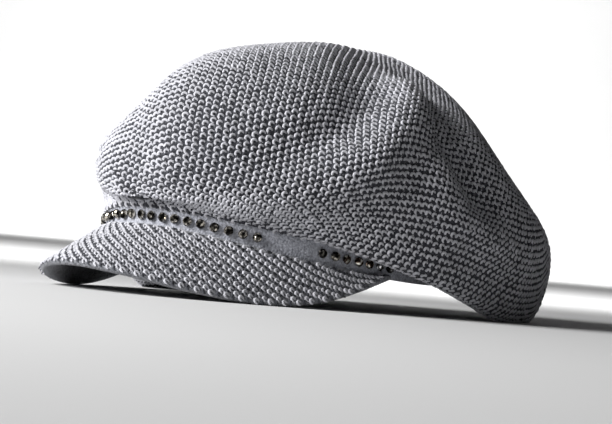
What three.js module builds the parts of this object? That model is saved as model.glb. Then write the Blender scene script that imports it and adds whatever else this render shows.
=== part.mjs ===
import * as THREE from "three";

// Slouchy knitted cap with a curved peak, resting on the floor.
// Millimetres, +Z up, front towards -Y, the wearer's left towards +X.
// The origin is on the floor, under the middle of the whole cap; the shape itself is laid out
// from the middle of the head opening and moved there at the end.

// Head opening and band
const OPENING_HALF_WIDTH = 79;
const OPENING_HALF_LENGTH = 99;
const BAND_WALL = 1.8;
const BAND_MEAN_HEIGHT = 26.8;
const BAND_FRONT_RISE = 7.2;
const BAND_ARCH = 4.4;
const BAND_ABOVE_STONES = 5.2;
const BAND_BELOW_STONES = 5.5;
const GAP = 0.3;

// Crown
const CROWN_WALL = 2.6;
const CROWN_CENTRE_Y = 22;
const TOP_CENTRE_Y = 42;
const TOP_HEIGHT = 136;
const BELLY_HALF_HEIGHT = 13;
const CROWN_COLUMNS = 72;
const CROWN_ROWS = 26;
const LIP_FREE_SHARE = 0.11;

// One row per 30 degrees of azimuth, from the front round the wearer's left.
const CROWN_SECTIONS = [
  { azimuth: 0, lowOut: 3, lowZ: 50, bellyR: 134, bellyZ: 54, shoulderR: 111, shoulderZ: 120, topR: 64, topZ: 131 },
  { azimuth: 30, lowOut: 5, lowZ: 44, bellyR: 122, bellyZ: 61, shoulderR: 102, shoulderZ: 114, topR: 66, topZ: 134 },
  { azimuth: 60, lowOut: 9, lowZ: 33, bellyR: 110, bellyZ: 60, shoulderR: 96, shoulderZ: 105, topR: 60, topZ: 121 },
  { azimuth: 90, lowOut: 26, lowZ: 11, bellyR: 112, bellyZ: 48, shoulderR: 97, shoulderZ: 100, topR: 57, topZ: 115 },
  { azimuth: 120, lowOut: 37, lowZ: -14, bellyR: 122, bellyZ: 39, shoulderR: 94, shoulderZ: 79, topR: 65, topZ: 113 },
  { azimuth: 150, lowOut: 44, lowZ: -11, bellyR: 131, bellyZ: 32, shoulderR: 97, shoulderZ: 71, topR: 60, topZ: 115 },
  { azimuth: 180, lowOut: 38, lowZ: 7, bellyR: 131, bellyZ: 44, shoulderR: 100, shoulderZ: 78, topR: 62, topZ: 117 },
  { azimuth: 210, lowOut: 30, lowZ: 10, bellyR: 128, bellyZ: 42, shoulderR: 102, shoulderZ: 83, topR: 64, topZ: 120 },
  { azimuth: 240, lowOut: 34, lowZ: -13, bellyR: 120, bellyZ: 33, shoulderR: 102, shoulderZ: 90, topR: 64, topZ: 124 },
  { azimuth: 270, lowOut: 33, lowZ: -13, bellyR: 110, bellyZ: 36, shoulderR: 95, shoulderZ: 97, topR: 62, topZ: 127 },
  { azimuth: 300, lowOut: 8, lowZ: 32, bellyR: 94, bellyZ: 62, shoulderR: 90, shoulderZ: 101, topR: 58, topZ: 127 },
  { azimuth: 330, lowOut: 2, lowZ: 46, bellyR: 117, bellyZ: 69, shoulderR: 86, shoulderZ: 97, topR: 62, topZ: 128 },
];

// Dents are negative and ridges positive; points are azimuth and share of the profile from the band up.
const CROWN_FOLDS = [
  { name: "front dent", depth: -8, width: 16, points: [[61, 0.66], [54, 0.52], [43, 0.42], [24, 0.36]] },
  { name: "dent crest", depth: 10, width: 14, points: [[63, 0.74], [69, 0.58], [57, 0.43], [26, 0.15]] },
  { name: "side valley", depth: -9, width: 15, points: [[80, 0.66], [82, 0.52], [92, 0.44], [108, 0.38]] },
  { name: "side crest", depth: 5, width: 14, points: [[74, 0.62], [80, 0.43], [87, 0.36], [112, 0.29]] },
  { name: "low valley", depth: -4, width: 13, points: [[84, 0.31], [98, 0.26], [116, 0.21]] },
  { name: "brow valley", depth: -3, width: 13, points: [[352, 0.52], [2, 0.41], [3, 0.32], [358, 0.20]] },
  { name: "rear fold", depth: -5, width: 16, points: [[196, 0.34], [202, 0.46], [198, 0.60]] },
  { name: "right fold", depth: -5, width: 16, points: [[268, 0.30], [276, 0.44], [286, 0.58]] },
];
const FOLD_END_SHARE = 0.2;
const FOLD_FADE_SHARE = 0.3;

// Peak
const PEAK_HALF_WIDTH = 85;
const PEAK_HALF_LENGTH = 140;
const PEAK_THICKNESS = 3.4;
const PEAK_BULGE = 0.2;
const PEAK_TOP_BELOW_STONES = 3.3;
const PEAK_END_AZIMUTH = 87.5;
const PEAK_COLUMNS = 35;
const PEAK_ROWS = 7;
// Height of the peak's lower outer edge, both sides alike.
const PEAK_EDGE = [
  { azimuth: 0, z: 11 },
  { azimuth: 20, z: 8.5 },
  { azimuth: 40, z: 2.8 },
  { azimuth: 55, z: 0 },
  { azimuth: 65, z: 1.2 },
  { azimuth: 75, z: 6.5 },
  { azimuth: 90, z: 19.5 },
];

// Stones: two rows along the band with a bare stretch between them, by length from the front centre.
const STONE_DIAMETER = 4.9;
const STONE_HEIGHT = 2.5;
const STONE_TABLE_DIAMETER = 2.6;
const STONE_GIRDLE_HEIGHT = 0.8;
const STONE_FACETS = 8;
const STONE_SPACING = 6.89;
const STONE_BACK_GAP = 0.4;
const STONE_ROWS = [
  { name: "front row", start: -129.5, count: 29 },
  { name: "temple row", start: 96.8, count: 7 },
];

const toRadians = THREE.MathUtils.degToRad;

function bandHeight(azimuth) {
  return BAND_MEAN_HEIGHT + BAND_FRONT_RISE * Math.cos(azimuth) + BAND_ARCH * Math.cos(2 * azimuth);
}

function openingPoint(azimuth, offset, z) {
  return new THREE.Vector3(
    (OPENING_HALF_WIDTH + offset) * Math.sin(azimuth),
    -(OPENING_HALF_LENGTH + offset) * Math.cos(azimuth),
    z,
  );
}

function catmullRom(p0, p1, p2, p3, f) {
  const slope = p2 - p0;
  const curve = 2 * p0 - 5 * p1 + 4 * p2 - p3;
  const twist = 3 * (p1 - p2) + p3 - p0;
  return 0.5 * (2 * p1 + slope * f + curve * f * f + twist * f * f * f);
}

function sectionAt(azimuth) {
  const count = CROWN_SECTIONS.length;
  const step = (2 * Math.PI) / count;
  const place = (((azimuth / step) % count) + count) % count;
  const i = Math.floor(place);
  const f = place - i;
  const rows = [-1, 0, 1, 2].map((k) => CROWN_SECTIONS[(i + k + count) % count]);
  const section = {};
  for (const key of Object.keys(CROWN_SECTIONS[0])) {
    section[key] = catmullRom(rows[0][key], rows[1][key], rows[2][key], rows[3][key], f);
  }
  return section;
}

function crownControls(azimuth) {
  const s = sectionAt(azimuth);
  const sin = Math.sin(azimuth);
  const cos = -Math.cos(azimuth);
  const shift = TOP_CENTRE_Y - CROWN_CENTRE_Y;
  const around = (y, r, z) => new THREE.Vector3(r * sin, y + r * cos, z);
  const lip = openingPoint(azimuth, 0, bandHeight(azimuth) + BAND_ABOVE_STONES + GAP);
  const low = new THREE.Vector3(lip.x + s.lowOut * sin, lip.y + s.lowOut * cos, s.lowZ);
  return [
    lip,
    low,
    around(CROWN_CENTRE_Y, s.bellyR, s.bellyZ - BELLY_HALF_HEIGHT),
    around(CROWN_CENTRE_Y, s.bellyR, s.bellyZ + BELLY_HALF_HEIGHT),
    around(CROWN_CENTRE_Y + 0.3 * shift, s.shoulderR, s.shoulderZ),
    around(CROWN_CENTRE_Y + 0.7 * shift, s.topR, s.topZ),
    around(TOP_CENTRE_Y, 0.33 * s.topR, TOP_HEIGHT),
    around(TOP_CENTRE_Y, 0, TOP_HEIGHT),
  ];
}

// Smooth curve that starts on the first control point and ends on the last.
function profilePoint(controls, share) {
  const last = controls.length - 1;
  const before = controls[0].clone().multiplyScalar(2).sub(controls[1]);
  const after = controls[last].clone().multiplyScalar(2).sub(controls[last - 1]);
  const all = [before, ...controls, after];
  const place = share * last;
  const i = Math.min(Math.floor(place), last - 1);
  const f = place - i;
  const weights = [
    (1 - f) ** 3 / 6,
    (3 * f ** 3 - 6 * f * f + 4) / 6,
    (-3 * f ** 3 + 3 * f * f + 3 * f + 1) / 6,
    f ** 3 / 6,
  ];
  const point = new THREE.Vector3();
  weights.forEach((weight, k) => point.addScaledVector(all[i + k], weight));
  return point;
}

function crownBase(azimuth, share) {
  return profilePoint(crownControls(azimuth), share);
}

function crownNormal(azimuth, share) {
  const step = 1e-3;
  const along = crownBase(azimuth + step, share).sub(crownBase(azimuth - step, share));
  const up = crownBase(azimuth, Math.min(share + step, 1)).sub(crownBase(azimuth, Math.max(share - step, 0)));
  return along.cross(up).normalize();
}

const foldLines = CROWN_FOLDS.map((fold) => ({
  ...fold,
  line: fold.points.map(([azimuth, share]) => crownBase(toRadians(azimuth), share)),
}));

function nearestOnLine(point, line) {
  let best = { distance: Infinity, along: 0 };
  for (let k = 0; k + 1 < line.length; k += 1) {
    const segment = new THREE.Line3(line[k], line[k + 1]);
    const t = segment.closestPointToPointParameter(point, true);
    const distance = segment.at(t, new THREE.Vector3()).distanceTo(point);
    if (distance < best.distance) {
      best = { distance, along: (k + t) / (line.length - 1) };
    }
  }
  return best;
}

function foldHeight(point) {
  let height = 0;
  for (const fold of foldLines) {
    const { distance, along } = nearestOnLine(point, fold.line);
    const fade = THREE.MathUtils.smoothstep(Math.min(along, 1 - along), 0, FOLD_FADE_SHARE);
    const taper = FOLD_END_SHARE + (1 - FOLD_END_SHARE) * fade;
    height += fold.depth * taper * Math.exp(-((distance / fold.width) ** 2));
  }
  return height;
}

function crownSurface(azimuth, share) {
  const point = crownBase(azimuth, share);
  const fade = Math.min(1, share / LIP_FREE_SHARE);
  point.addScaledVector(crownNormal(azimuth, share), foldHeight(point) * fade);
  point.z = Math.max(point.z, 0);
  return point;
}

// Mesh building

function geometryFrom(points, faces) {
  const geometry = new THREE.BufferGeometry();
  geometry.setAttribute("position", new THREE.Float32BufferAttribute(points.flatMap((p) => [p.x, p.y, p.z]), 3));
  geometry.setIndex(faces.flat());
  geometry.computeVertexNormals();
  return geometry;
}

function cutQuad(points, a, b, c, d) {
  const across = points[a].distanceTo(points[c]);
  const other = points[b].distanceTo(points[d]);
  return across <= other ? [[a, b, c], [a, c, d]] : [[a, b, d], [b, c, d]];
}

function vertexNormals(points, faces) {
  const geometry = geometryFrom(points, faces);
  const normal = geometry.getAttribute("normal");
  return points.map((p, i) => new THREE.Vector3().fromBufferAttribute(normal, i));
}

function node(name, geometry, look) {
  const material = new THREE.MeshStandardMaterial({ metalness: 0, ...look });
  const mesh = new THREE.Mesh(geometry, material);
  mesh.name = name;
  return mesh;
}

function crownGeometry() {
  const columns = CROWN_COLUMNS;
  const rows = CROWN_ROWS;
  const outer = [];
  for (let j = 0; j < rows; j += 1) {
    for (let i = 0; i < columns; i += 1) {
      outer.push(crownSurface((2 * Math.PI * i) / columns, j / rows));
    }
  }
  outer.push(crownSurface(0, 1));
  const apex = rows * columns;
  const skin = [];
  for (let i = 0; i < columns; i += 1) {
    const next = (i + 1) % columns;
    for (let j = 0; j + 1 < rows; j += 1) {
      const low = j * columns;
      const high = (j + 1) * columns;
      skin.push(...cutQuad(outer, low + i, low + next, high + next, high + i));
    }
    skin.push([(rows - 1) * columns + i, (rows - 1) * columns + next, apex]);
  }
  const normals = vertexNormals(outer, skin);
  const inner = outer.map((p, k) => p.clone().addScaledVector(normals[k], -CROWN_WALL));
  const points = [...outer, ...inner];
  const shift = outer.length;
  const faces = [...skin];
  for (const [a, b, c] of skin) {
    faces.push([a + shift, c + shift, b + shift]);
  }
  for (let i = 0; i < columns; i += 1) {
    const next = (i + 1) % columns;
    faces.push([i, i + shift, next + shift], [i, next + shift, next]);
  }
  return geometryFrom(points, faces);
}

function bandGeometry() {
  const columns = CROWN_COLUMNS;
  const points = [];
  for (let i = 0; i < columns; i += 1) {
    const azimuth = (2 * Math.PI * i) / columns;
    const low = bandHeight(azimuth) - BAND_BELOW_STONES;
    const high = bandHeight(azimuth) + BAND_ABOVE_STONES;
    points.push(
      openingPoint(azimuth, 0, low),
      openingPoint(azimuth, 0, high),
      openingPoint(azimuth, -BAND_WALL, high),
      openingPoint(azimuth, -BAND_WALL, low),
    );
  }
  const faces = [];
  for (let i = 0; i < columns; i += 1) {
    const here = 4 * i;
    const next = 4 * ((i + 1) % columns);
    for (let k = 0; k < 4; k += 1) {
      const up = (k + 1) % 4;
      faces.push([here + k, next + k, next + up], [here + k, next + up, here + up]);
    }
  }
  return geometryFrom(points, faces);
}

function peakEdgeHeight(azimuth) {
  const degrees = Math.abs(THREE.MathUtils.radToDeg(azimuth));
  const count = PEAK_EDGE.length;
  let i = 0;
  while (i + 2 < count && PEAK_EDGE[i + 1].azimuth < degrees) {
    i += 1;
  }
  const here = PEAK_EDGE[i];
  const next = PEAK_EDGE[i + 1];
  const before = i > 0 ? PEAK_EDGE[i - 1] : { azimuth: -PEAK_EDGE[1].azimuth, z: PEAK_EDGE[1].z };
  const after = PEAK_EDGE[Math.min(i + 2, count - 1)];
  const span = next.azimuth - here.azimuth;
  const slopeHere = (next.z - before.z) / (next.azimuth - before.azimuth);
  const slopeNext = after === next ? (next.z - here.z) / span : (after.z - here.z) / (after.azimuth - here.azimuth);
  const f = (degrees - here.azimuth) / span;
  const z = (2 * f ** 3 - 3 * f * f + 1) * here.z + (f ** 3 - 2 * f * f + f) * slopeHere * span
    + (3 * f * f - 2 * f ** 3) * next.z + (f ** 3 - f * f) * slopeNext * span;
  return Math.max(0, z);
}

function peakUnderside(azimuth, share) {
  const innerZ = bandHeight(azimuth) - PEAK_TOP_BELOW_STONES - PEAK_THICKNESS;
  const inner = openingPoint(azimuth, GAP, innerZ);
  const outer = new THREE.Vector3(
    PEAK_HALF_WIDTH * Math.sin(azimuth),
    -PEAK_HALF_LENGTH * Math.cos(azimuth),
    peakEdgeHeight(azimuth),
  );
  const point = inner.lerp(outer, share);
  point.z += PEAK_BULGE * Math.cos(azimuth) * 4 * share * (1 - share);
  return point;
}

function peakGeometry() {
  const end = toRadians(PEAK_END_AZIMUTH);
  const rows = PEAK_ROWS;
  const stride = rows + 1;
  const under = [];
  for (let i = 0; i <= PEAK_COLUMNS; i += 1) {
    const azimuth = -end + (2 * end * i) / PEAK_COLUMNS;
    for (let j = 0; j <= rows; j += 1) {
      under.push(peakUnderside(azimuth, j / rows));
    }
  }
  const skin = [];
  for (let i = 0; i < PEAK_COLUMNS; i += 1) {
    for (let j = 0; j < rows; j += 1) {
      const a = i * stride + j;
      skin.push(...cutQuad(under, a, a + 1, a + stride + 1, a + stride));
    }
  }
  const up = vertexNormals(under, skin).map((n) => (n.z < 0 ? n.negate() : n));
  const top = under.map((p, k) => {
    const lifted = p.clone();
    if (k % stride === 0) {
      lifted.z += PEAK_THICKNESS;
    } else {
      lifted.addScaledVector(up[k], PEAK_THICKNESS);
    }
    return lifted;
  });
  const points = [...under, ...top];
  const shift = under.length;
  const faces = [];
  for (const [a, b, c] of skin) {
    faces.push([a + shift, b + shift, c + shift], [a, c, b]);
  }
  const rim = [];
  for (let i = 0; i <= PEAK_COLUMNS; i += 1) rim.push(i * stride);
  for (let j = 1; j <= rows; j += 1) rim.push(PEAK_COLUMNS * stride + j);
  for (let i = PEAK_COLUMNS - 1; i >= 0; i -= 1) rim.push(i * stride + rows);
  for (let j = rows - 1; j >= 1; j -= 1) rim.push(j);
  rim.forEach((a, k) => {
    const b = rim[(k + 1) % rim.length];
    faces.push([a, a + shift, b + shift], [a, b + shift, b]);
  });
  return geometryFrom(points, faces);
}

// Arc length along the opening, by short chords from the front centre.
function azimuthAtLength(length) {
  const step = toRadians(0.1) * Math.sign(length);
  let azimuth = 0;
  let walked = 0;
  while (walked < Math.abs(length)) {
    const here = openingPoint(azimuth, 0, 0);
    azimuth += step;
    walked += here.distanceTo(openingPoint(azimuth, 0, 0));
  }
  return azimuth;
}

function stoneGeometry(azimuth) {
  const back = openingPoint(azimuth, STONE_BACK_GAP, bandHeight(azimuth));
  const along = new THREE.Vector3(
    OPENING_HALF_WIDTH * Math.cos(azimuth),
    OPENING_HALF_LENGTH * Math.sin(azimuth),
    0,
  ).normalize();
  const up = new THREE.Vector3(0, 0, 1);
  const out = along.clone().cross(up);
  const place = (radius, turn, depth) => back.clone()
    .addScaledVector(along, radius * Math.cos(turn))
    .addScaledVector(up, radius * Math.sin(turn))
    .addScaledVector(out, depth);
  const points = [];
  const facet = (2 * Math.PI) / STONE_FACETS;
  for (let k = 0; k < STONE_FACETS; k += 1) {
    points.push(
      place(STONE_DIAMETER / 2, k * facet, 0),
      place(STONE_DIAMETER / 2, k * facet, STONE_GIRDLE_HEIGHT),
      place(STONE_TABLE_DIAMETER / 2, (k + 0.5) * facet, STONE_HEIGHT),
    );
  }
  const faces = [];
  for (let k = 0; k < STONE_FACETS; k += 1) {
    const a = 3 * k;
    const b = 3 * ((k + 1) % STONE_FACETS);
    faces.push([a, b, b + 1], [a, b + 1, a + 1], [a + 1, b + 1, a + 2], [a + 2, b + 1, b + 2]);
  }
  for (let k = 1; k + 1 < STONE_FACETS; k += 1) {
    faces.push([0, 3 * (k + 1), 3 * k], [2, 3 * k + 2, 3 * (k + 1) + 2]);
  }
  return geometryFrom(points, faces);
}

const hat = new THREE.Group();
hat.name = "knitted_cap";
hat.add(node("crown", crownGeometry(), { color: 0x6d6f7a, roughness: 0.95 }));
hat.add(node("band", bandGeometry(), { color: 0x9a9ca6, roughness: 0.9 }));
hat.add(node("peak", peakGeometry(), { color: 0x77797f, roughness: 0.95 }));

let stoneNumber = 0;
for (const row of STONE_ROWS) {
  for (let k = 0; k < row.count; k += 1) {
    stoneNumber += 1;
    const azimuth = azimuthAtLength(row.start + k * STONE_SPACING);
    const name = `stone_${String(stoneNumber).padStart(2, "0")}`;
    hat.add(node(name, stoneGeometry(azimuth), { color: 0x3a332c, roughness: 0.15, metalness: 0.6 }));
  }
}

const bounds = new THREE.Box3().setFromObject(hat);
const middle = bounds.getCenter(new THREE.Vector3());
for (const mesh of hat.children) {
  mesh.geometry.translate(-middle.x, -middle.y, -bounds.min.z);
}

export default hat;
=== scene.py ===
import math

import bpy
import numpy as np
from bpy.props import FloatProperty, FloatVectorProperty, IntProperty, PointerProperty
from mathutils import Matrix, Vector


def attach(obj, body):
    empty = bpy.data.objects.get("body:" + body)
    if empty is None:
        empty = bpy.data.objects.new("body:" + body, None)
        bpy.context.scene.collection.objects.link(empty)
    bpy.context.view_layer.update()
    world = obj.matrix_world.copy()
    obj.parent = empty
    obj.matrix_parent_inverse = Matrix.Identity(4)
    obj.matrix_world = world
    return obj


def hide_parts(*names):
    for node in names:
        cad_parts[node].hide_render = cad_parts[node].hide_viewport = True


bl_info = {
    "name": "Knitted Peaked Cap",
    "version": (1, 0, 0),
    "blender": (4, 5, 0),
    "location": "3D View > Sidebar > Cap",
    "description": "Builds a slouchy two-tone knitted cap with a stone row over its peak",
    "category": "Add Mesh",
}

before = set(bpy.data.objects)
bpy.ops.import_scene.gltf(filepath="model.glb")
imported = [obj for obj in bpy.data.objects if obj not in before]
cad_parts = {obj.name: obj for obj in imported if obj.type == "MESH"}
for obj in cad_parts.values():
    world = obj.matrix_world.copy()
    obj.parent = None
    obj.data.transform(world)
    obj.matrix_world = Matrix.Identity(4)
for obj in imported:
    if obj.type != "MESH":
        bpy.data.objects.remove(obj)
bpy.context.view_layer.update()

MM = 0.001
TURN = 2 * math.pi


def opening_place():
    """Middle of the head opening, measured from the middle of the whole cap, in millimetres."""
    band = bpy.data.objects["band"]
    corners = np.array([band.matrix_world @ Vector(corner) for corner in band.bound_box]) / MM
    middle = (corners.min(axis=0) + corners.max(axis=0)) / 2
    return np.array([middle[0], middle[1], 0.0])


OPENING_PLACE = opening_place()

# Head opening and band
OPENING_HALF_WIDTH = 79.0
OPENING_HALF_LENGTH = 99.0
BAND_MEAN_HEIGHT = 26.8
BAND_FRONT_RISE = 7.2
BAND_ARCH = 4.4
BAND_ABOVE_STONES = 5.2
GAP = 0.3

# Crown
CROWN_CENTRE_Y = 22.0
TOP_CENTRE_Y = 42.0
TOP_HEIGHT = 136.0
BELLY_HALF_HEIGHT = 13.0
LIP_FREE_SHARE = 0.11
SHOULDER_SHIFT_SHARE = 0.3
TOP_SHIFT_SHARE = 0.7
TOP_RING_SHARE = 0.33

# The looks let the lip down over the band where the cosine of the azimuth passes this range
LIP_OUT = 1.8
LIP_DROP = 1.2
LIP_DROP_FROM = 0.15
LIP_DROP_SPAN = 0.2
SECTION_KEYS = ("lowOut", "lowZ", "bellyR", "bellyZ", "shoulderR", "shoulderZ", "topR", "topZ")

# One row per 30 degrees of azimuth, from the front round the wearer's left, in millimetres
CROWN_SECTIONS = [
    (3, 50, 134, 54, 111, 120, 64, 131),
    (5, 44, 122, 61, 102, 114, 66, 134),
    (9, 33, 110, 60, 96, 105, 60, 121),
    (26, 11, 112, 48, 97, 100, 57, 115),
    (37, -14, 122, 39, 94, 79, 65, 113),
    (44, -11, 131, 32, 97, 71, 60, 115),
    (38, 7, 131, 44, 100, 78, 62, 117),
    (30, 10, 128, 42, 102, 83, 64, 120),
    (34, -13, 120, 33, 102, 90, 64, 124),
    (33, -13, 110, 36, 95, 97, 62, 127),
    (8, 32, 94, 62, 90, 101, 58, 127),
    (2, 46, 117, 69, 86, 97, 62, 128),
]

# Depth, width, then azimuth in degrees and share of the profile from the band up
CROWN_FOLDS = [
    ("front dent", -8, 16, [(61, 0.66), (54, 0.52), (43, 0.42), (24, 0.36)]),
    ("dent crest", 10, 14, [(63, 0.74), (69, 0.58), (57, 0.43), (26, 0.15)]),
    ("side valley", -9, 15, [(80, 0.66), (82, 0.52), (92, 0.44), (108, 0.38)]),
    ("side crest", 5, 14, [(74, 0.62), (80, 0.43), (87, 0.36), (112, 0.29)]),
    ("low valley", -4, 13, [(84, 0.31), (98, 0.26), (116, 0.21)]),
    ("brow valley", -3, 13, [(352, 0.52), (2, 0.41), (3, 0.32), (358, 0.20)]),
    ("rear fold", -5, 16, [(196, 0.34), (202, 0.46), (198, 0.60)]),
    ("right fold", -5, 16, [(268, 0.30), (276, 0.44), (286, 0.58)]),
]
FOLD_END_SHARE = 0.2
FOLD_FADE_SHARE = 0.3

# Peak
PEAK_HALF_WIDTH = 85.0
PEAK_HALF_LENGTH = 140.0
PEAK_THICKNESS = 3.4
PEAK_BULGE = 0.2
PEAK_TOP_BELOW_STONES = 3.3
PEAK_END = math.radians(87.5)
PEAK_EDGE = [(0, 11), (20, 8.5), (40, 2.8), (55, 0), (65, 1.2), (75, 6.5), (90, 19.5)]

# Stones, by length from the front centre along the band
STONE_SPACING = 6.89
STONE_BACK_GAP = 0.4
STONE_ROWS = [("front row", -129.5, 29), ("temple row", 96.8, 7)]
STONE_SIDES = 8
STONE_TIP_SPREAD = 0.16
TAN_STONES = (32, 33, 34)
GREY_STONES = (35, 36)

# Rings of a stone from its back to its table: shares of its radius and height, and turn in facets
STONE_RINGS = [
    (0.93, 0.0, 0.0),
    (1.0, 0.30, 0.0),
    (0.97, 0.42, 0.5),
    (0.78, 0.78, 0.0),
    (0.50, 1.0, 0.5),
]

# Camera: fitted to the photograph's outline and stone row
PHOTO_WIDTH = 612
PHOTO_HEIGHT = 424
CAMERA_AZIMUTH = math.radians(45)
CAMERA_ELEVATION = math.radians(1.3)
CAMERA_ROLL = math.radians(5.0)
CAMERA_DISTANCE = 1300.0
PIXELS_PER_MM = 1.926
OPENING_IN_PHOTO = (275.8, 301.4)
SENSOR_WIDTH = 36.0

# Stage, in metres
FLOOR_REACH = 12.0
FLOOR_BEND_START = 6.0
FLOOR_BEND_RADIUS = 2.0
FLOOR_BEND_STEPS = 16
LIGHT_TARGET = (0, 0.01, 0.06)

# Name, size, place from the target and direction, each as right, toward the camera and up.
# Without a direction the light points at the target.
LIGHTS = [
    ("key_light", 0.9, (-1.22, 0.58, 0.68), None),
    ("fill_light", 1.2, (0.3, 1.6, 1.0), None),
    ("floor_light", 1.5, (0.0, -1.0, 1.0), (0.0, -1.0, -0.6)),
    ("backdrop_light", 2.5, (0.0, -5.2, 2.2), (0.0, -1.0, -1.0)),
]


# Shape of the cap


def band_height(azimuth):
    return BAND_MEAN_HEIGHT + BAND_FRONT_RISE * np.cos(azimuth) + BAND_ARCH * np.cos(2 * azimuth)


def opening_point(azimuth, offset, z):
    x = (OPENING_HALF_WIDTH + offset) * np.sin(azimuth)
    y = -(OPENING_HALF_LENGTH + offset) * np.cos(azimuth)
    return np.stack([x, y, z + 0 * azimuth], axis=-1)


def section_at(azimuth):
    table = np.array(CROWN_SECTIONS, dtype=float)
    count = len(table)
    place = (azimuth / (TURN / count)) % count
    i = np.floor(place).astype(int) % count
    f = (place - np.floor(place))[..., None]
    p0, p1, p2, p3 = (table[(i + k) % count] for k in (-1, 0, 1, 2))
    curve = 2 * p0 - 5 * p1 + 4 * p2 - p3
    twist = 3 * (p1 - p2) + p3 - p0
    values = 0.5 * (2 * p1 + (p2 - p0) * f + curve * f**2 + twist * f**3)
    return {key: values[..., k] for k, key in enumerate(SECTION_KEYS)}


def crown_controls(azimuth):
    s = section_at(azimuth)
    sin = np.sin(azimuth)
    cos = -np.cos(azimuth)
    shift = TOP_CENTRE_Y - CROWN_CENTRE_Y

    def around(y, r, z):
        return np.stack([r * sin, y + r * cos, z + 0 * azimuth], axis=-1)

    lip = opening_point(azimuth, 0.0, band_height(azimuth) + BAND_ABOVE_STONES + GAP)
    low = np.stack([lip[..., 0] + s["lowOut"] * sin, lip[..., 1] + s["lowOut"] * cos, s["lowZ"]], axis=-1)
    return np.stack(
        [
            lip,
            low,
            around(CROWN_CENTRE_Y, s["bellyR"], s["bellyZ"] - BELLY_HALF_HEIGHT),
            around(CROWN_CENTRE_Y, s["bellyR"], s["bellyZ"] + BELLY_HALF_HEIGHT),
            around(CROWN_CENTRE_Y + SHOULDER_SHIFT_SHARE * shift, s["shoulderR"], s["shoulderZ"]),
            around(CROWN_CENTRE_Y + TOP_SHIFT_SHARE * shift, s["topR"], s["topZ"]),
            around(TOP_CENTRE_Y, TOP_RING_SHARE * s["topR"], TOP_HEIGHT),
            around(TOP_CENTRE_Y, 0.0, TOP_HEIGHT),
        ],
        axis=-2,
    )


def profile_point(controls, share):
    last = controls.shape[-2] - 1
    before = 2 * controls[..., :1, :] - controls[..., 1:2, :]
    after = 2 * controls[..., -1:, :] - controls[..., -2:-1, :]
    points = np.concatenate([before, controls, after], axis=-2)
    place = share * last
    i = np.minimum(np.floor(place).astype(int), last - 1)
    f = (place - i)[..., None]
    weights = [
        (1 - f) ** 3 / 6,
        (3 * f**3 - 6 * f**2 + 4) / 6,
        (-3 * f**3 + 3 * f**2 + 3 * f + 1) / 6,
        f**3 / 6,
    ]
    result = 0
    for k, weight in enumerate(weights):
        index = np.broadcast_to((i + k)[..., None, None], points.shape[:-2] + (1, 3))
        result = result + weight * np.take_along_axis(points, index, axis=-2)[..., 0, :]
    return result


def crown_base(azimuth, share):
    azimuth, share = np.broadcast_arrays(np.asarray(azimuth, float), np.asarray(share, float))
    return profile_point(crown_controls(azimuth), share)


def unit(vectors):
    return vectors / np.maximum(np.linalg.norm(vectors, axis=-1, keepdims=True), 1e-9)


def surface_frame(surface, azimuth, share, step=2e-3):
    """Point, direction round the cap, direction up the profile and outward normal."""
    high = np.minimum(share + step, 0.9999)
    low = np.maximum(share - step, 0.0)
    around = unit(surface(azimuth + step, share) - surface(azimuth - step, share))
    up = surface(azimuth, high) - surface(azimuth, low)
    normal = unit(np.cross(around, up))
    return surface(azimuth, share), around, unit(np.cross(normal, around)), normal


def distance_to_line(points, line):
    nearest = np.full(points.shape[:-1], 1e9)
    along = np.zeros(points.shape[:-1])
    pieces = len(line) - 1
    for k in range(pieces):
        span = line[k + 1] - line[k]
        t = np.clip(((points - line[k]) @ span) / (span @ span), 0, 1)
        distance = np.linalg.norm(points - (line[k] + t[..., None] * span), axis=-1)
        closer = distance < nearest
        nearest[closer] = distance[closer]
        along[closer] = ((k + t) / pieces)[closer]
    return nearest, along


def fold_lines():
    lines = []
    for _, depth, width, places in CROWN_FOLDS:
        azimuth = np.radians([place[0] for place in places])
        share = np.array([place[1] for place in places])
        lines.append((depth, width, crown_base(azimuth, share)))
    return lines


FOLD_LINES = fold_lines()


def fold_height(points):
    height = np.zeros(points.shape[:-1])
    for depth, width, line in FOLD_LINES:
        distance, along = distance_to_line(points, line)
        fade = np.clip(np.minimum(along, 1 - along) / FOLD_FADE_SHARE, 0, 1)
        taper = FOLD_END_SHARE + (1 - FOLD_END_SHARE) * fade * fade * (3 - 2 * fade)
        height += depth * taper * np.exp(-((distance / width) ** 2))
    return height


def crown_surface(azimuth, share):
    azimuth, share = np.broadcast_arrays(np.asarray(azimuth, float), np.asarray(share, float))
    point, _, _, normal = surface_frame(crown_base, azimuth, share, 1e-3)
    fade = np.minimum(1, share / LIP_FREE_SHARE)
    return point + normal * (fold_height(point) * fade)[..., None]


def hung_surface(azimuth, share):
    """The crown with its lip let down a little over the band, on the side of the peak."""
    point = crown_surface(azimuth, share)
    near_lip = np.clip(1 - share / LIP_FREE_SHARE, 0, 1) ** 2
    near = near_lip * np.clip((np.cos(azimuth) - LIP_DROP_FROM) / LIP_DROP_SPAN, 0, 1)
    point[..., 0] += LIP_OUT * near * np.sin(azimuth)
    point[..., 1] -= LIP_OUT * near * np.cos(azimuth)
    point[..., 2] -= LIP_DROP * near
    return point


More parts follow.
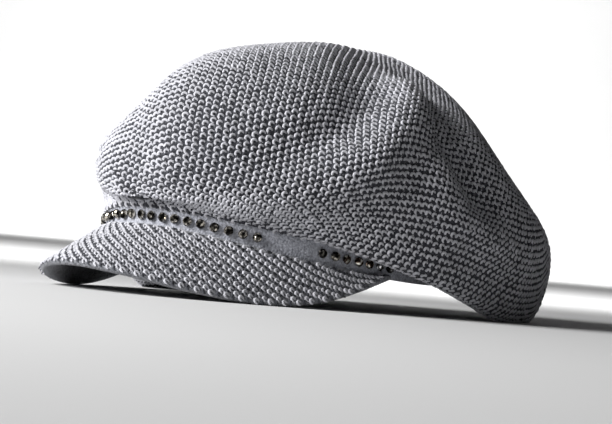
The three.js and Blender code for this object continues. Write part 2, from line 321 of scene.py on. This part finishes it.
def peak_edge_height(azimuth):
    degrees = np.abs(np.degrees(azimuth))
    places = np.array([row[0] for row in PEAK_EDGE], float)
    heights = np.array([row[1] for row in PEAK_EDGE], float)
    slopes = np.zeros(len(places))
    slopes[1:-1] = (heights[2:] - heights[:-2]) / (places[2:] - places[:-2])
    slopes[-1] = (heights[-1] - heights[-2]) / (places[-1] - places[-2])
    i = np.clip(np.searchsorted(places, degrees, side="right") - 1, 0, len(places) - 2)
    span = places[i + 1] - places[i]
    f = (degrees - places[i]) / span
    start = (2 * f**3 - 3 * f**2 + 1) * heights[i] + (f**3 - 2 * f**2 + f) * slopes[i] * span
    finish = (3 * f**2 - 2 * f**3) * heights[i + 1] + (f**3 - f**2) * slopes[i + 1] * span
    return np.maximum(0, start + finish)


def peak_underside(azimuth, share):
    azimuth, share = np.broadcast_arrays(np.asarray(azimuth, float), np.asarray(share, float))
    inner = opening_point(azimuth, GAP, band_height(azimuth) - PEAK_TOP_BELOW_STONES - PEAK_THICKNESS)
    outer = np.stack(
        [PEAK_HALF_WIDTH * np.sin(azimuth), -PEAK_HALF_LENGTH * np.cos(azimuth), peak_edge_height(azimuth)],
        axis=-1,
    )
    point = inner + (outer - inner) * share[..., None]
    point[..., 2] += PEAK_BULGE * np.cos(azimuth) * 4 * share * (1 - share)
    return point


def peak_frame(azimuth, share):
    """Point of the peak's underside, its direction round, its direction to the band and the way up."""
    return surface_frame(lambda a, s: peak_underside(a, 1 - s), azimuth, 1 - share)


# Mesh helpers


def make_object(name, points, quads, material, smooth=True, triangles=None):
    """A mesh from arrays of millimetre points and of faces."""
    mesh = bpy.data.meshes.new(name)
    points = (np.asarray(points, float).reshape(-1, 3) + OPENING_PLACE) * MM
    quads = np.asarray(quads, np.int32).reshape(-1, 4)
    triangles = np.asarray([] if triangles is None else triangles, np.int32).reshape(-1, 3)
    mesh.vertices.add(len(points))
    mesh.vertices.foreach_set("co", points.astype(np.float32).ravel())
    corners = np.concatenate([quads.ravel(), triangles.ravel()])
    starts = np.concatenate([np.arange(len(quads)) * 4, len(quads) * 4 + np.arange(len(triangles)) * 3])
    mesh.loops.add(len(corners))
    mesh.loops.foreach_set("vertex_index", corners)
    mesh.polygons.add(len(starts))
    mesh.polygons.foreach_set("loop_start", starts.astype(np.int32))
    mesh.update(calc_edges=True)
    mesh.validate()
    mesh.polygons.foreach_set("use_smooth", np.full(len(mesh.polygons), smooth))
    mesh.materials.append(material)
    piece = bpy.data.objects.new(name, mesh)
    bpy.context.scene.collection.objects.link(piece)
    return piece


def grid_quads(columns, rows, closed):
    """Quads of a grid whose points run row by row, each row going round the cap."""
    i = np.arange(columns if closed else columns - 1)
    j = np.arange(rows - 1)[:, None]
    following = (i + 1) % columns
    low = j * columns
    high = low + columns
    return np.stack([low + i, low + following, high + following, high + i], axis=-1).reshape(-1, 4)


def on_floor(points, lift=0.0):
    points[..., 2] = np.maximum(points[..., 2], lift)
    return points


# Stitches

LOOP_SECTION = np.radians([-105, -38, 38, 105])
YARN_END_SHARE = 0.42
LOOP_TURN_SPREAD = math.radians(8)
LOOP_SIZE_SPREAD = 0.06
LOOP_PLACE_SPREAD = 0.15
LOOP_FLOOR_LIFT = 0.05
CROWN_LOOP_SWEEP = 125
PEAK_LOOP_SWEEP = 120
PEAK_LOOP_WIDER = 0.5
PEAK_LOOP_SHORTER = 0.4
CROWN_SEED = 7
PEAK_SEED = 11
STONE_SEED = 5


def yarns_of(settings):
    """Name, colour, depth under the surface, points along the loop and spread of tone of each yarn."""
    return (
        ("light", settings.light_yarn, 0.5, 7, 0.22),
        ("dark", settings.dark_yarn, 0.8, 5, 0.35),
    )


def loop_template(width, height, yarn, sweep, spine_points):
    """Offsets round, up and out of one plump crescent of yarn, its back towards smaller azimuth."""
    turn = np.radians(np.linspace(-sweep, sweep, spine_points))
    swell = np.cos(turn / turn[-1] * math.pi / 2)
    radius = yarn * (YARN_END_SHARE + (1 - YARN_END_SHARE) * swell**0.55)
    x = (width / 2 - yarn) * (0.35 - np.cos(turn))
    y = (height / 2 - yarn * 0.8) * np.sin(turn)
    z = yarn * (0.8 * swell - 0.55)
    spine = np.stack([x, y, z], axis=-1)
    tangent = unit(np.gradient(spine, axis=0))
    side = unit(np.cross(np.array([0.0, 0.0, 1.0]), tangent))
    lift = unit(np.cross(tangent, side))
    raised = np.cos(LOOP_SECTION)[:, None] * lift[:, None, :]
    ring = raised + np.sin(LOOP_SECTION)[:, None] * side[:, None, :]
    return spine[:, None, :] + radius[:, None, None] * ring


def loop_quads(count, spine_points):
    sections = len(LOOP_SECTION)
    i = np.arange(spine_points - 1)[:, None]
    k = np.arange(sections - 1)[None, :]
    a = i * sections + k
    one = np.stack([a, a + sections, a + sections + 1, a + 1], axis=-1).reshape(-1, 4)
    return (one[None] + (np.arange(count) * spine_points * sections)[:, None, None]).reshape(-1, 4)


def place_loops(frames, template, random, lean):
    """Copies of the template on the surface, each a little turned, moved and resized."""
    points, around, up, normal = frames
    count = len(points)
    turn = random.normal(-math.radians(lean), LOOP_TURN_SPREAD, count)
    size = 1 + random.normal(0, LOOP_SIZE_SPREAD, (count, 1, 1, 1))
    jitter = random.normal(0, LOOP_PLACE_SPREAD, (count, 3))
    cos = np.cos(turn)[:, None]
    sin = np.sin(turn)[:, None]
    x_axis = around * cos + up * sin
    y_axis = up * cos - around * sin
    axes = np.stack([x_axis, y_axis, normal], axis=1)
    placed = np.einsum("nabk,nkd->nabd", template[None] * size, axes)
    base = points + x_axis * jitter[:, :1] + y_axis * jitter[:, 1:2] + normal * jitter[:, 2:] * 0.5
    return placed + base[:, None, None, :]


def crown_lattice(settings):
    """Azimuth, share and tone of every loop: panels of even columns, with one column on each seam."""
    pitch = settings.column_pitch
    row = settings.row_pitch / 2
    half_panel = math.pi / settings.panels
    azimuths, shares, tones = [], [], []
    fine = np.linspace(0.004, 0.985, 400)
    for panel in range(settings.panels):
        centre = math.radians(settings.first_seam) + (2 * panel + 1) * half_panel
        across = crown_surface(centre + half_panel * np.linspace(-1, 1, 41)[:, None], fine[None, :])
        half_width = np.linalg.norm(np.diff(across, axis=0), axis=2).sum(axis=0) / 2
        columns = int(half_width.max() / pitch)
        for column in range(-columns, columns + 1):
            inside = np.abs(column) * pitch < half_width - 0.6 * pitch
            path = centre + np.clip(column * pitch / half_width, -1.2, 1.2) * half_panel
            walked = crown_surface(path, fine)
            length = np.concatenate([[0], np.cumsum(np.linalg.norm(np.diff(walked, axis=0), axis=1))])
            level = np.arange(int(length[-1] / row))
            here = (level + 0.5) * row
            keep = np.interp(here, length, inside) > 0.5
            azimuths.append(np.interp(here, length, path)[keep])
            shares.append(np.interp(here, length, fine)[keep])
            tones.append(((level + column) % 2)[keep])
        seam = across[-1]
        length = np.concatenate([[0], np.cumsum(np.linalg.norm(np.diff(seam, axis=0), axis=1))])
        level = np.arange(int(length[-1] / row))
        azimuths.append(np.full(len(level), centre + half_panel))
        shares.append(np.interp((level + 0.5) * row, length, fine))
        tones.append(level % 2)
    return np.concatenate(azimuths), np.concatenate(shares), np.concatenate(tones)


def peak_lattice(settings):
    """Azimuth, share and tone of every loop on the peak, in columns that run out from the band."""
    pitch = settings.peak_column_pitch
    row = settings.peak_row_pitch / 2
    azimuths, shares, tones = [], [], []
    fine = np.linspace(-PEAK_END, PEAK_END, 900)
    middle = peak_underside(fine, np.full_like(fine, 0.6))
    walked = np.concatenate([[0], np.cumsum(np.linalg.norm(np.diff(middle, axis=0), axis=1))])
    columns = int(walked[-1] / pitch)
    for column in range(columns):
        azimuth = float(np.interp((column + 0.5) * walked[-1] / columns, walked, fine))
        ends = peak_underside(np.array([azimuth, azimuth]), np.array([0.0, 1.0]))
        length = float(np.linalg.norm(ends[1] - ends[0]))
        level = np.arange(int(length / row))
        azimuths.append(np.full(len(level), azimuth))
        shares.append(1 - (level + 0.4) * row / length)
        tones.append((level + column) % 2)
    return np.concatenate(azimuths), np.concatenate(shares), np.concatenate(tones)


# Materials


def new_material(name):
    material = bpy.data.materials.new(name)
    material.use_nodes = True
    nodes = material.node_tree.nodes
    return material, nodes, material.node_tree.links, nodes["Principled BSDF"]


def object_coordinates(nodes):
    return nodes.new("ShaderNodeTexCoord").outputs["Object"]


def noise(nodes, links, source, scale, detail=2.0):
    texture = nodes.new("ShaderNodeTexNoise")
    texture.inputs["Scale"].default_value = scale
    texture.inputs["Detail"].default_value = detail
    links.new(source, texture.inputs["Vector"])
    return texture.outputs["Fac"]


def ramp(nodes, links, source, stops):
    node = nodes.new("ShaderNodeValToRGB")
    node.color_ramp.elements[0].position = stops[0][0]
    node.color_ramp.elements[0].color = (*stops[0][1], 1)
    node.color_ramp.elements[1].position = stops[-1][0]
    node.color_ramp.elements[1].color = (*stops[-1][1], 1)
    for position, colour in stops[1:-1]:
        element = node.color_ramp.elements.new(position)
        element.color = (*colour, 1)
    links.new(source, node.inputs["Fac"])
    return node.outputs["Color"]


def bump(nodes, links, height, strength, distance, shader):
    node = nodes.new("ShaderNodeBump")
    node.inputs["Strength"].default_value = strength
    node.inputs["Distance"].default_value = distance
    links.new(height, node.inputs["Height"])
    links.new(node.outputs["Normal"], shader.inputs["Normal"])


def shaded(colour, factor):
    return tuple(min(1.0, channel * factor) for channel in colour[:3])


def yarn_material(name, colour, spread):
    """Spun yarn: patches of tone, short fibres, and a little fuzz at the edges."""
    material, nodes, links, shader = new_material(name)
    place = object_coordinates(nodes)
    patches = noise(nodes, links, place, 260.0, 3.0)
    tone = ramp(
        nodes, links, patches,
        [
            (0.30, shaded(colour, 1 - spread)),
            (0.50, shaded(colour, 1.0)),
            (0.72, shaded(colour, 1 + spread)),
        ],
    )
    links.new(tone, shader.inputs["Base Color"])
    fibres = noise(nodes, links, place, 2200.0, 2.0)
    bump(nodes, links, fibres, 0.5, 0.0004, shader)
    shader.inputs["Roughness"].default_value = 0.85
    shader.inputs["Sheen Weight"].default_value = 0.15
    shader.inputs["Sheen Roughness"].default_value = 0.5
    return material


def smooth_knit_material(name, colour, cell_scale, strength):
    """Fine plain knit with small raised cells and heather flecks."""
    material, nodes, links, shader = new_material(name)
    place = object_coordinates(nodes)
    flecks = noise(nodes, links, place, 900.0, 3.0)
    tone = ramp(
        nodes, links, flecks,
        [(0.32, shaded(colour, 0.62)), (0.5, shaded(colour, 1.0)), (0.68, shaded(colour, 1.28))],
    )
    links.new(tone, shader.inputs["Base Color"])
    cells = nodes.new("ShaderNodeTexVoronoi")
    cells.inputs["Scale"].default_value = cell_scale
    links.new(place, cells.inputs["Vector"])
    bump(nodes, links, cells.outputs["Distance"], strength, 0.0008, shader)
    shader.inputs["Roughness"].default_value = 0.9
    shader.inputs["Sheen Weight"].default_value = 0.2
    return material


def stone_material(name, colour):
    """Polished cut stone: a mirror round the stone's own colour, with painted reflections in its base
    colour that run its facets from nearly black to pale.
    """
    material, nodes, links, shader = new_material(name)
    place = object_coordinates(nodes)
    # Blotches about a facet wide: painted dark facets and painted glints in the base colour, over the
    # stone's own tone.
    painted_glint_noise = noise(nodes, links, place, 480.0, 0.0)
    tone = ramp(
        nodes, links, painted_glint_noise,
        [(0.42, shaded(colour, 0.1)), (0.50, shaded(colour, 0.7)), (0.58, shaded(colour, 2.4))],
    )
    links.new(tone, shader.inputs["Base Color"])
    shader.inputs["Metallic"].default_value = 0.95
    shader.inputs["Roughness"].default_value = 0.06
    return material


def floor_material(name, colour):
    material, nodes, links, shader = new_material(name)
    place = object_coordinates(nodes)
    patches = noise(nodes, links, place, 3.0)
    tone = ramp(nodes, links, patches, [(0.3, shaded(colour, 0.985)), (0.7, colour[:3])])
    links.new(tone, shader.inputs["Base Color"])
    shader.inputs["Roughness"].default_value = 0.9
    shader.inputs["Specular IOR Level"].default_value = 0.1
    return material


# Settings


class CapKnitSettings(bpy.types.PropertyGroup):
    panels: IntProperty(name="Panels", description="Knitted panels of the crown", default=2, min=2, max=12)
    first_seam: FloatProperty(
        name="First seam", description="Azimuth of the first seam, in degrees", default=-45.0
    )
    column_pitch: FloatProperty(
        name="Column pitch", description="Between stitch columns, in mm", default=3.45
    )
    row_pitch: FloatProperty(
        name="Row pitch", description="Between light stitches of a column, in mm", default=3.5
    )
    peak_column_pitch: FloatProperty(
        name="Peak columns", description="Between the peak's columns, in mm", default=3.3
    )
    peak_row_pitch: FloatProperty(
        name="Peak rows", description="Between a column's light stitches, in mm", default=4.2
    )
    loop_width: FloatProperty(name="Stitch width", description="Width of a stitch, in mm", default=4.1)
    loop_height: FloatProperty(name="Stitch height", description="Height of a stitch, in mm", default=3.6)
    yarn_radius: FloatProperty(
        name="Yarn radius", description="Half the thickness of the yarn, in mm", default=0.73
    )
    lean: FloatProperty(name="Stitch lean", description="Turn of the stitches, in degrees", default=35.0)
    light_yarn: FloatVectorProperty(
        name="Light yarn", description="Colour of the light yarn", subtype="COLOR",
        default=(0.54, 0.54, 0.58),
    )
    dark_yarn: FloatVectorProperty(
        name="Dark yarn", description="Colour of the dark yarn", subtype="COLOR",
        default=(0.040, 0.042, 0.052),
    )


class CapTrimSettings(bpy.types.PropertyGroup):
    band_colour: FloatVectorProperty(
        name="Band", description="Colour of the plain band", subtype="COLOR",
        default=(0.40, 0.41, 0.46),
    )
    under_colour: FloatVectorProperty(
        name="Peak underside", description="Colour of the fine knit under the peak", subtype="COLOR",
        default=(0.20, 0.205, 0.225),
    )
    stone_colour: FloatVectorProperty(
        name="Stones", description="Colour of the dark stones", subtype="COLOR",
        default=(0.30, 0.28, 0.24),
    )
    tan_stone_colour: FloatVectorProperty(
        name="Tan stones", description="Colour of the tan stones", subtype="COLOR",
        default=(0.70, 0.50, 0.37),
    )
    grey_stone_colour: FloatVectorProperty(
        name="Grey stones", description="Colour of the grey stones", subtype="COLOR",
        default=(0.55, 0.55, 0.53),
    )
    stone_diameter: FloatProperty(name="Stone diameter", description="Width of a stone, in mm", default=4.9)
    stone_height: FloatProperty(name="Stone height", description="Depth of a stone, in mm", default=2.5)


class CapStageSettings(bpy.types.PropertyGroup):
    floor_colour: FloatVectorProperty(
        name="Floor", description="Colour of the floor and backdrop", subtype="COLOR",
        default=(0.72, 0.72, 0.72),
    )
    key_power: FloatProperty(
        name="Key light", description="Power of the key light", subtype="POWER", default=41.0
    )
    fill_power: FloatProperty(
        name="Fill light", description="Power of the fill light", subtype="POWER", default=0.5
    )
    floor_power: FloatProperty(
        name="Floor light", description="Power of the light on the floor behind", subtype="POWER",
        default=32.0,
    )
    backdrop_power: FloatProperty(
        name="Backdrop light", description="Power of the light on the backdrop", subtype="POWER",
        default=130.0,
    )
    world_strength: FloatProperty(
        name="World", description="Strength of the surrounding light", default=0.025
    )


# Pieces


class CAP_OT_crown(bpy.types.Operator):
    """Build the crown's dark knitted shell"""

    bl_idname = "cap.crown"
    bl_label = "Crown Shell"

    columns = 240
    rows = 96
    sink = 0.9
    wall = 1.7

    def execute(self, context):
        settings = context.scene.cap_knit
        azimuth = np.arange(self.columns) * TURN / self.columns
        share = np.linspace(0.0, 0.9995, self.rows)[:, None]
        point, _, _, normal = surface_frame(hung_surface, azimuth[None, :], share)
        outer = on_floor(point - normal * self.sink)
        inner = on_floor(point - normal * (self.sink + self.wall), self.wall)
        count = self.columns * self.rows
        skin = grid_quads(self.columns, self.rows, True)
        i = np.arange(self.columns)
        following = (i + 1) % self.columns
        lip = np.stack([i, i + count, following + count, following], axis=-1)
        top = (self.rows - 1) * self.columns
        quads = np.concatenate([skin, skin[:, ::-1] + count, lip])
        points = np.concatenate([outer.reshape(-1, 3), inner.reshape(-1, 3)])
        tips = np.array([outer[-1].mean(axis=0), inner[-1].mean(axis=0)])
        points = np.concatenate([points, tips])
        caps = [(top + a, top + b, 2 * count) for a, b in zip(i, following)]
        caps += [(top + count + b, top + count + a, 2 * count + 1) for a, b in zip(i, following)]
        material = smooth_knit_material("dark_ground_knit", settings.dark_yarn, 420.0, 0.6)
        piece = make_object("crown_shell", points, quads, material, triangles=caps)
        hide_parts("crown")
        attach(piece, "root")
        return {"FINISHED"}


class CAP_OT_crown_loops(bpy.types.Operator):
    """Lay the light and dark stitches over the crown"""

    bl_idname = "cap.crown_loops"
    bl_label = "Crown Stitches"

    def execute(self, context):
        settings = context.scene.cap_knit
        random = np.random.default_rng(CROWN_SEED)
        azimuth, share, tone = crown_lattice(settings)
        point, around, up, normal = surface_frame(hung_surface, azimuth, share)
        sector = ((np.degrees(azimuth) + 60) % 360) // 120
        for kind, (name, colour, sink, spine_points, spread) in enumerate(yarns_of(settings)):
            material = yarn_material(f"{name}_yarn", colour, spread)
            template = loop_template(
                settings.loop_width, settings.loop_height, settings.yarn_radius, CROWN_LOOP_SWEEP,
                spine_points,
            )
            for k, side in enumerate(("front", "left", "right")):
                chosen = (tone == kind) & (sector == k)
                frames = [part[chosen] for part in (point - normal * sink, around, up, normal)]
                placed = place_loops(frames, template, random, settings.lean)
                placed = on_floor(placed, LOOP_FLOOR_LIFT)
                quads = loop_quads(int(chosen.sum()), spine_points)
                piece = make_object(f"crown_{name}_loops_{side}", placed, quads, material)
                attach(piece, "root")
        return {"FINISHED"}


class CAP_OT_band(bpy.types.Operator):
    """Give the band its plain heather knit"""

    bl_idname = "cap.band"
    bl_label = "Band"

    def execute(self, context):
        colour = context.scene.cap_trim.band_colour
        material = smooth_knit_material("heather_band_knit", colour, 900.0, 0.5)
        band = bpy.data.objects["band"]
        band.data.materials.clear()
        band.data.materials.append(material)
        return {"FINISHED"}


class CAP_OT_peak(bpy.types.Operator):
    """Build the peak's sheet with its fine knitted underside"""

    bl_idname = "cap.peak"
    bl_label = "Peak Sheet"

    columns = 160
    rows = 16
    sink = 0.8

    def execute(self, context):
        settings = context.scene.cap_trim
        azimuth = np.linspace(-PEAK_END, PEAK_END, self.columns)[None, :]
        share = np.linspace(1.0, 0.0, self.rows)[:, None]
        point, _, _, normal = peak_frame(azimuth, share)
        under = on_floor(point.copy())
        top = point + normal * (PEAK_THICKNESS - self.sink)
        count = self.columns * self.rows
        skin = grid_quads(self.columns, self.rows, False)
        rim = np.concatenate([
            np.arange(self.columns),
            np.arange(1, self.rows) * self.columns + self.columns - 1,
            (self.rows - 1) * self.columns + np.arange(self.columns - 2, -1, -1),
            np.arange(self.rows - 2, 0, -1) * self.columns,
        ])
        following = np.roll(rim, -1)
        wall = np.stack([rim, following, following + count, rim + count], axis=-1)
        quads = np.concatenate([skin + count, skin[:, ::-1], wall])
        points = np.concatenate([under.reshape(-1, 3), top.reshape(-1, 3)])
        material = smooth_knit_material("peak_under_knit", settings.under_colour, 700.0, 0.8)
        piece = make_object("peak_sheet", points, quads, material)
        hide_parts("peak")
        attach(piece, "root")
        return {"FINISHED"}


class CAP_OT_peak_loops(bpy.types.Operator):
    """Lay the light and dark stitches over the peak"""

    bl_idname = "cap.peak_loops"
    bl_label = "Peak Stitches"

    def execute(self, context):
        settings = context.scene.cap_knit
        random = np.random.default_rng(PEAK_SEED)
        azimuth, share, tone = peak_lattice(settings)
        point, around, up, normal = peak_frame(azimuth, share)
        for kind, (name, _, sink, spine_points, _) in enumerate(yarns_of(settings)):
            width = settings.loop_width + PEAK_LOOP_WIDER
            height = settings.loop_height - PEAK_LOOP_SHORTER
            template = loop_template(width, height, settings.yarn_radius, PEAK_LOOP_SWEEP, spine_points)
            chosen = tone == kind
            lifted = point + normal * (PEAK_THICKNESS - sink)
            frames = [part[chosen] for part in (lifted, around, up, normal)]
            placed = place_loops(frames, template, random, settings.lean)
            placed = on_floor(placed, LOOP_FLOOR_LIFT)
            quads = loop_quads(int(chosen.sum()), spine_points)
            piece = make_object(f"peak_{name}_loops", placed, quads, bpy.data.materials[f"{name}_yarn"])
            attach(piece, "root")
        return {"FINISHED"}


class CAP_OT_stones(bpy.types.Operator):
    """Cut the row of faceted stones"""

    bl_idname = "cap.stones"
    bl_label = "Stones"

    def execute(self, context):
        settings = context.scene.cap_trim
        dark = stone_material("dark_cut_stone", settings.stone_colour)
        tan = stone_material("tan_cut_stone", settings.tan_stone_colour)
        grey = stone_material("grey_cut_stone", settings.grey_stone_colour)
        fine = np.radians(np.arange(-100, 100.01, 0.05))
        line = opening_point(fine, 0.0, 0.0)
        walked = np.concatenate([[0], np.cumsum(np.linalg.norm(np.diff(line, axis=0), axis=1))])
        walked -= np.interp(0.0, fine, walked)
        random = np.random.default_rng(STONE_SEED)
        number = 0
        for _, start, count in STONE_ROWS:
            for k in range(count):
                number += 1
                azimuth = float(np.interp(start + k * STONE_SPACING, walked, fine))
                material = dark
                if number in TAN_STONES:
                    material = tan
                elif number in GREY_STONES:
                    material = grey
                self.cut(number, azimuth, settings, material, random)
        return {"FINISHED"}

    def cut(self, number, azimuth, settings, material, random):
        back = opening_point(np.array(azimuth), STONE_BACK_GAP, band_height(azimuth))
        across = OPENING_HALF_WIDTH * math.cos(azimuth)
        along = unit(np.array([across, OPENING_HALF_LENGTH * math.sin(azimuth), 0.0]))
        up = np.array([0.0, 0.0, 1.0])
        out = np.cross(along, up)
        spin = random.uniform(0, TURN / STONE_SIDES)
        tip = random.normal(0, STONE_TIP_SPREAD, 2)
        face = unit(out + tip[0] * along + tip[1] * up)
        radius = settings.stone_diameter / 2
        points = []
        for radius_share, share, turn in STONE_RINGS:
            angle = (np.arange(STONE_SIDES) + turn) * TURN / STONE_SIDES + spin
            circle = np.cos(angle)[:, None] * along + np.sin(angle)[:, None] * up
            points.append(back + radius * radius_share * circle + face * share * settings.stone_height)
        points = np.concatenate(points)
        triangles = []
        for ring in range(len(STONE_RINGS) - 1):
            low = ring * STONE_SIDES
            high = low + STONE_SIDES
            lean = STONE_RINGS[ring + 1][2] - STONE_RINGS[ring][2]
            for k in range(STONE_SIDES):
                n = (k + 1) % STONE_SIDES
                if lean >= 0:
                    triangles += [(low + k, low + n, high + k), (high + k, low + n, high + n)]
                else:
                    triangles += [(low + k, high + n, high + k), (low + k, low + n, high + n)]
        top = (len(STONE_RINGS) - 1) * STONE_SIDES
        for k in range(1, STONE_SIDES - 1):
            triangles += [(top, top + k, top + k + 1), (0, k + 1, k)]
        piece = make_object(f"gem_{number:02d}", points, [], material, smooth=False, triangles=triangles)
        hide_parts(f"stone_{number:02d}")
        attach(piece, "root")


class CAP_OT_stage(bpy.types.Operator):
    """Set the floor, the lights and the camera"""

    bl_idname = "cap.stage"
    bl_label = "Stage"

    def execute(self, context):
        settings = context.scene.cap_stage
        self.floor(settings)
        right = Vector((math.cos(CAMERA_AZIMUTH), math.sin(CAMERA_AZIMUTH), 0))
        toward = Vector((math.sin(CAMERA_AZIMUTH), -math.cos(CAMERA_AZIMUTH), 0))
        up = Vector((0, 0, 1))
        target = Vector(LIGHT_TARGET)
        powers = (
            settings.key_power,
            settings.fill_power,
            settings.floor_power,
            settings.backdrop_power,
        )
        for (name, size, place, aim), power in zip(LIGHTS, powers):
            at = target + right * place[0] + toward * place[1] + up * place[2]
            to = target if aim is None else at + right * aim[0] + toward * aim[1] + up * aim[2]
            self.area_light(name, at, to, size, power)
        world = bpy.data.worlds.new("soft_world")
        world.use_nodes = True
        background = world.node_tree.nodes["Background"]
        background.inputs["Color"].default_value = (1, 1, 1, 1)
        background.inputs["Strength"].default_value = settings.world_strength
        context.scene.world = world
        context.scene.view_settings.view_transform = "Standard"
        self.camera(context)
        return {"FINISHED"}

    def floor(self, settings):
        """A floor that bends up into a backdrop, far enough off to leave a camera behind the cap clear."""
        profile = [(-FLOOR_REACH, 0.0), (FLOOR_BEND_START, 0.0)]
        for k in range(FLOOR_BEND_STEPS + 1):
            angle = math.pi / 2 * k / FLOOR_BEND_STEPS
            across = FLOOR_BEND_START + FLOOR_BEND_RADIUS * math.sin(angle)
            profile.append((across, FLOOR_BEND_RADIUS * (1 - math.cos(angle))))
        profile.append((FLOOR_BEND_START + FLOOR_BEND_RADIUS, FLOOR_REACH))
        away = np.array([-math.sin(CAMERA_AZIMUTH), math.cos(CAMERA_AZIMUTH), 0.0])
        right = np.array([math.cos(CAMERA_AZIMUTH), math.sin(CAMERA_AZIMUTH), 0.0])
        points = []
        for side in (-FLOOR_REACH, FLOOR_REACH):
            points += [away * d + right * side + np.array([0, 0, h]) for d, h in profile]
        count = len(profile)
        quads = [(i, i + count, i + count + 1, i + 1) for i in range(count - 1)]
        points = np.array(points) / MM - OPENING_PLACE
        floor = make_object("floor", points, quads, floor_material("pale_floor", settings.floor_colour))

    def area_light(self, name, place, target, size, power):
        light = bpy.data.lights.new(name, "AREA")
        light.shape = "DISK"
        light.size = size
        light.energy = power
        lamp = bpy.data.objects.new(name, light)
        lamp.location = place
        lamp.rotation_euler = (target - place).to_track_quat("-Z", "Y").to_euler()
        bpy.context.scene.collection.objects.link(lamp)

    def camera(self, context):
        """Stand where the photograph was taken from and look through its centre."""
        toward = Vector((
            math.sin(CAMERA_AZIMUTH) * math.cos(CAMERA_ELEVATION),
            -math.cos(CAMERA_AZIMUTH) * math.cos(CAMERA_ELEVATION),
            math.sin(CAMERA_ELEVATION),
        ))
        right = Vector((math.cos(CAMERA_AZIMUTH), math.sin(CAMERA_AZIMUTH), 0))
        up = toward.cross(right)
        rolled_right = right * math.cos(CAMERA_ROLL) + up * math.sin(CAMERA_ROLL)
        rolled_up = up * math.cos(CAMERA_ROLL) - right * math.sin(CAMERA_ROLL)
        focal = PIXELS_PER_MM * CAMERA_DISTANCE
        dx = PHOTO_WIDTH / 2 - OPENING_IN_PHOTO[0]
        dy = OPENING_IN_PHOTO[1] - PHOTO_HEIGHT / 2
        look = (rolled_right * dx + rolled_up * dy - toward * focal).normalized()
        x_axis = (rolled_right - look * rolled_right.dot(look)).normalized()
        y_axis = x_axis.cross(look)
        data = bpy.data.cameras.new("photo_camera")
        data.sensor_width = SENSOR_WIDTH
        data.lens = math.sqrt(focal**2 + dx**2 + dy**2) * SENSOR_WIDTH / PHOTO_WIDTH
        camera = bpy.data.objects.new("photo_camera", data)
        place = toward * (CAMERA_DISTANCE * MM) + Vector(OPENING_PLACE * MM)
        axes = Matrix((x_axis, y_axis, -look)).transposed().to_4x4()
        camera.matrix_world = Matrix.Translation(place) @ axes
        context.scene.collection.objects.link(camera)
        context.scene.camera = camera


class CAP_PT_panel(bpy.types.Panel):
    bl_label = "Knitted Cap"
    bl_idname = "CAP_PT_panel"
    bl_space_type = "VIEW_3D"
    bl_region_type = "UI"
    bl_category = "Cap"

    def draw(self, context):
        layout = self.layout
        for group in (context.scene.cap_knit, context.scene.cap_trim, context.scene.cap_stage):
            box = layout.box()
            for key in group.__annotations__:
                box.prop(group, key)
        for operator in OPERATORS:
            layout.operator(operator.bl_idname)


OPERATORS = (
    CAP_OT_crown,
    CAP_OT_crown_loops,
    CAP_OT_band,
    CAP_OT_peak,
    CAP_OT_peak_loops,
    CAP_OT_stones,
    CAP_OT_stage,
)
CLASSES = (CapKnitSettings, CapTrimSettings, CapStageSettings, *OPERATORS, CAP_PT_panel)


def register():
    for cls in CLASSES:
        bpy.utils.register_class(cls)
    bpy.types.Scene.cap_knit = PointerProperty(type=CapKnitSettings)
    bpy.types.Scene.cap_trim = PointerProperty(type=CapTrimSettings)
    bpy.types.Scene.cap_stage = PointerProperty(type=CapStageSettings)


def unregister():
    del bpy.types.Scene.cap_stage
    del bpy.types.Scene.cap_trim
    del bpy.types.Scene.cap_knit
    for cls in reversed(CLASSES):
        bpy.utils.unregister_class(cls)


def main():
    register()
    bpy.ops.cap.crown()
    bpy.ops.cap.crown_loops()
    bpy.ops.cap.band()
    bpy.ops.cap.peak()
    bpy.ops.cap.peak_loops()
    bpy.ops.cap.stones()
    bpy.ops.cap.stage()
    bpy.context.view_layer.update()


if __name__ == "__main__":
    main()
